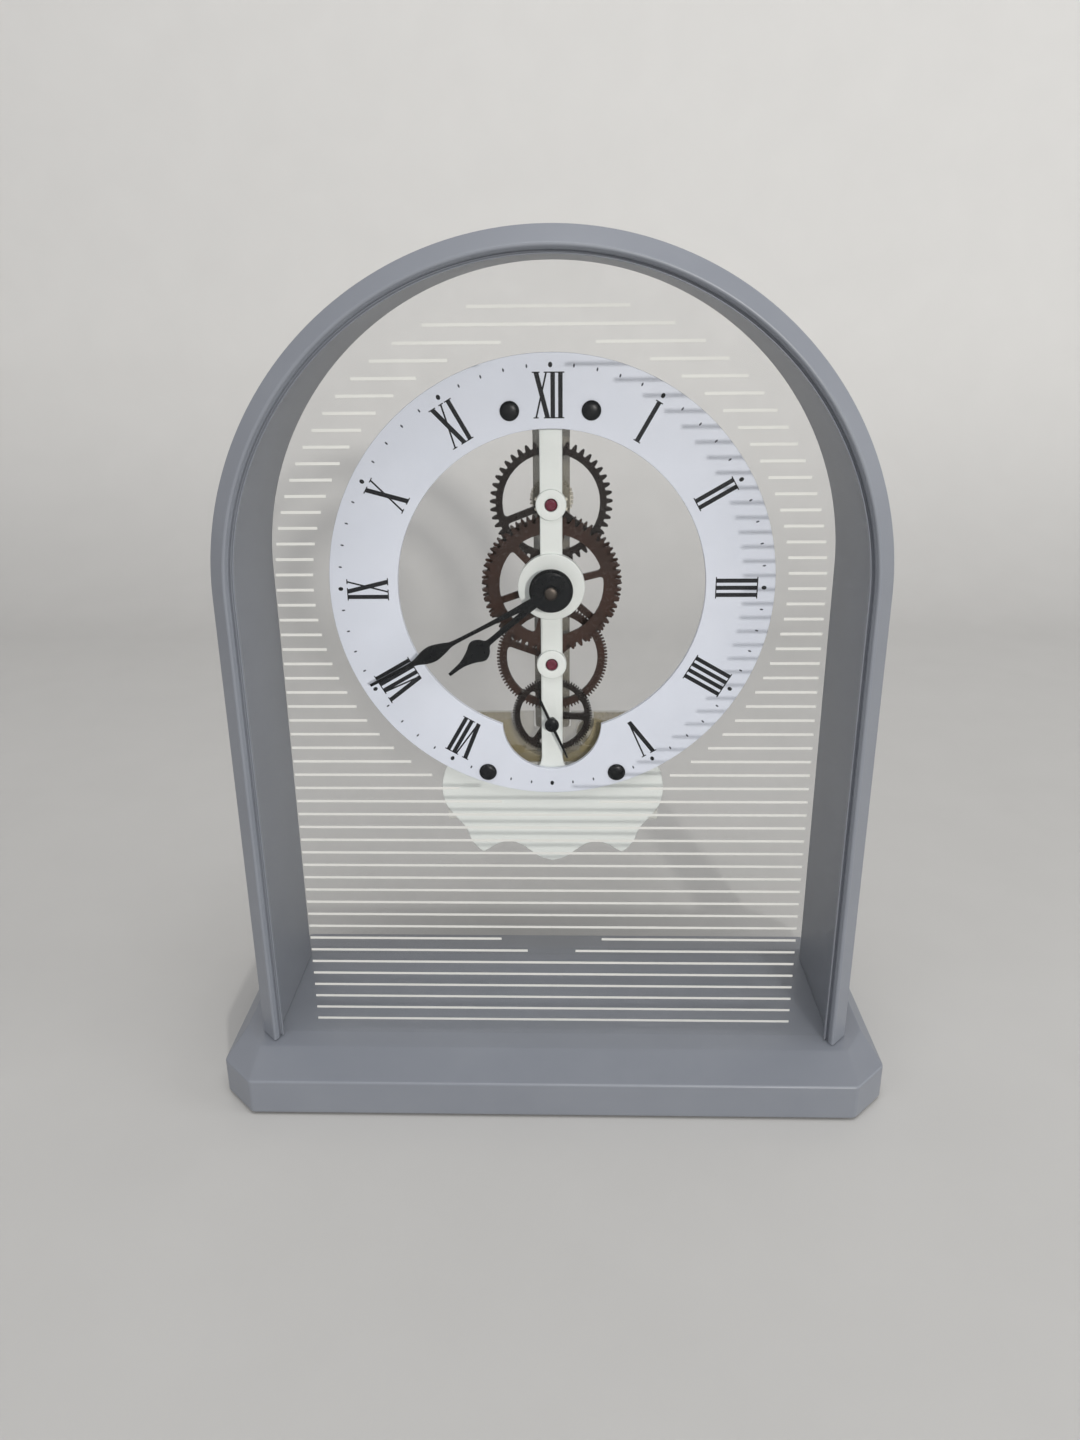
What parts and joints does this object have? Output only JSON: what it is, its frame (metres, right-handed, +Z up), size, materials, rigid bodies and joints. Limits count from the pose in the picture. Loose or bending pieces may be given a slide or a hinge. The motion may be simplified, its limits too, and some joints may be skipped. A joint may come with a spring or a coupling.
{
  "type": "skeleton mantel clock",
  "caption": "Free-standing mantel clock: arched case on a bevelled plinth, open dial ring with visible wheel train behind a striped clear front",
  "frame": {"origin": "under the middle of the plinth, on the surface the feet stand on", "axes": "+X to the viewer's right as one faces the dial, +Y towards the back, +Z up"},
  "size_m": [0.165, 0.068, 0.2015],
  "materials": {
    "case": "blue-grey satin",
    "pane": "clear, polished",
    "dial": "cool white, satin",
    "plate": "warm white, satin",
    "hand": "black, satin",
    "screw_black": "black, satin",
    "screw_steel": "zinc plated",
    "jewel": "crimson, polished",
    "smoke": "smoked, translucent",
    "wheel": "dark brown, slightly translucent",
    "pinion": "cream",
    "nut": "dulled",
    "rubber": "matt",
    "black_plastic": "matt black",
    "tray": "warm white",
    "cell": "printed jacket",
    "contact": "nickel plated",
    "iron": "soft iron",
    "copper": "enamelled wire",
    "board": "solder mask",
    "magnet": "dull"
  },
  "bodies": {
    "clock": {"plinth": "case", "plinth_cover": "black_plastic", "foot_1": "rubber", "foot_2": "rubber", "foot_3": "rubber", "foot_4": "rubber", "cover_screw_1": "screw_steel", "cover_screw_2": "screw_steel", "cover_screw_3": "screw_steel", "cover_screw_4": "screw_steel", "arch_screw_1": "screw_steel", "arch_screw_2": "screw_steel", "arch_screw_3": "screw_steel", "arch_screw_4": "screw_steel", "case_arch": "case", "front_pane": "pane", "rear_pane": "pane", "dial_ring": "dial", "dial_screw_1": "screw_black", "dial_screw_2": "screw_black", "dial_screw_3": "screw_black", "dial_screw_4": "screw_black", "front_plate": "plate", "jewel_upper": "jewel", "jewel_lower": "jewel", "rear_bridge": "smoke", "pillar_1": "pane", "pillar_2": "pane", "pane_screw_1": "screw_steel", "pane_screw_2": "screw_steel", "pane_screw_3": "screw_steel", "pane_screw_4": "screw_steel", "pane_screw_5": "screw_steel", "pane_screw_6": "screw_steel", "motor_case": "smoke", "motor_cover": "smoke", "battery_tray": "tray", "contact_plus": "contact", "contact_minus": "contact", "circuit_board": "board", "quartz_can": "contact", "coil": "copper", "coil_core": "iron", "stator": "iron"},
    "minute_arbor": {"cannon_pinion": "wheel", "minute_hand": "hand", "hand_nut": "nut"},
    "hour_pipe": {"hour_wheel": "wheel", "hour_hand": "hand"},
    "minute_wheel_arbor": {"minute_wheel": "wheel", "minute_pinion": "pinion", "setting_knob": "pinion"},
    "seconds_arbor": {"seconds_wheel": "wheel", "second_hand": "hand"},
    "third_arbor": {"third_wheel": "wheel"},
    "centre_arbor": {"centre_wheel": "wheel"},
    "intermediate_arbor": {"intermediate_wheel": "wheel"},
    "rotor_arbor": {"rotor": "magnet"},
    "battery": {"battery_cell": "cell"}
  },
  "joints": [
    {"name": "minute_turn", "type": "hinge", "parent": "clock", "child": "minute_arbor", "pos_m": [0, 0.00705, 0.1235], "axis": [0, 1, 0], "continuous": true},
    {"name": "hour_turn", "type": "hinge", "parent": "clock", "child": "hour_pipe", "pos_m": [0, 0.00705, 0.1235], "axis": [0, 1, 0], "continuous": true},
    {"name": "setting_turn", "type": "hinge", "parent": "clock", "child": "minute_wheel_arbor", "pos_m": [0, 0.00705, 0.1433], "axis": [0, 1, 0], "continuous": true},
    {"name": "seconds_turn", "type": "hinge", "parent": "clock", "child": "seconds_arbor", "pos_m": [0, 0.00705, 0.08847], "axis": [0, 1, 0], "continuous": true},
    {"name": "third_turn", "type": "hinge", "parent": "clock", "child": "third_arbor", "pos_m": [0, 0.00705, 0.10376], "axis": [0, 1, 0], "continuous": true},
    {"name": "centre_turn", "type": "hinge", "parent": "clock", "child": "centre_arbor", "pos_m": [0, 0.00705, 0.1235], "axis": [0, 1, 0], "continuous": true},
    {"name": "intermediate_turn", "type": "hinge", "parent": "clock", "child": "intermediate_arbor", "pos_m": [0.01043, 0.00705, 0.08292], "axis": [0, 1, 0], "continuous": true},
    {"name": "rotor_turn", "type": "hinge", "parent": "clock", "child": "rotor_arbor", "pos_m": [0.01523, 0.00705, 0.08292], "axis": [0, 1, 0], "continuous": true},
    {"name": "battery_slide", "type": "slide", "parent": "clock", "child": "battery", "axis": [0, 1, 0], "range_m": [0, 0.025]}
  ],
  "couplings": [
    {"joint": "hour_turn", "follows": "minute_turn", "ratio": 0.083333},
    {"joint": "setting_turn", "follows": "minute_turn", "ratio": -0.4},
    {"joint": "third_turn", "follows": "seconds_turn", "ratio": -0.1},
    {"joint": "centre_turn", "follows": "seconds_turn", "ratio": 0.016667},
    {"joint": "intermediate_turn", "follows": "seconds_turn", "ratio": -6},
    {"joint": "rotor_turn", "follows": "seconds_turn", "ratio": 30}
  ]
}
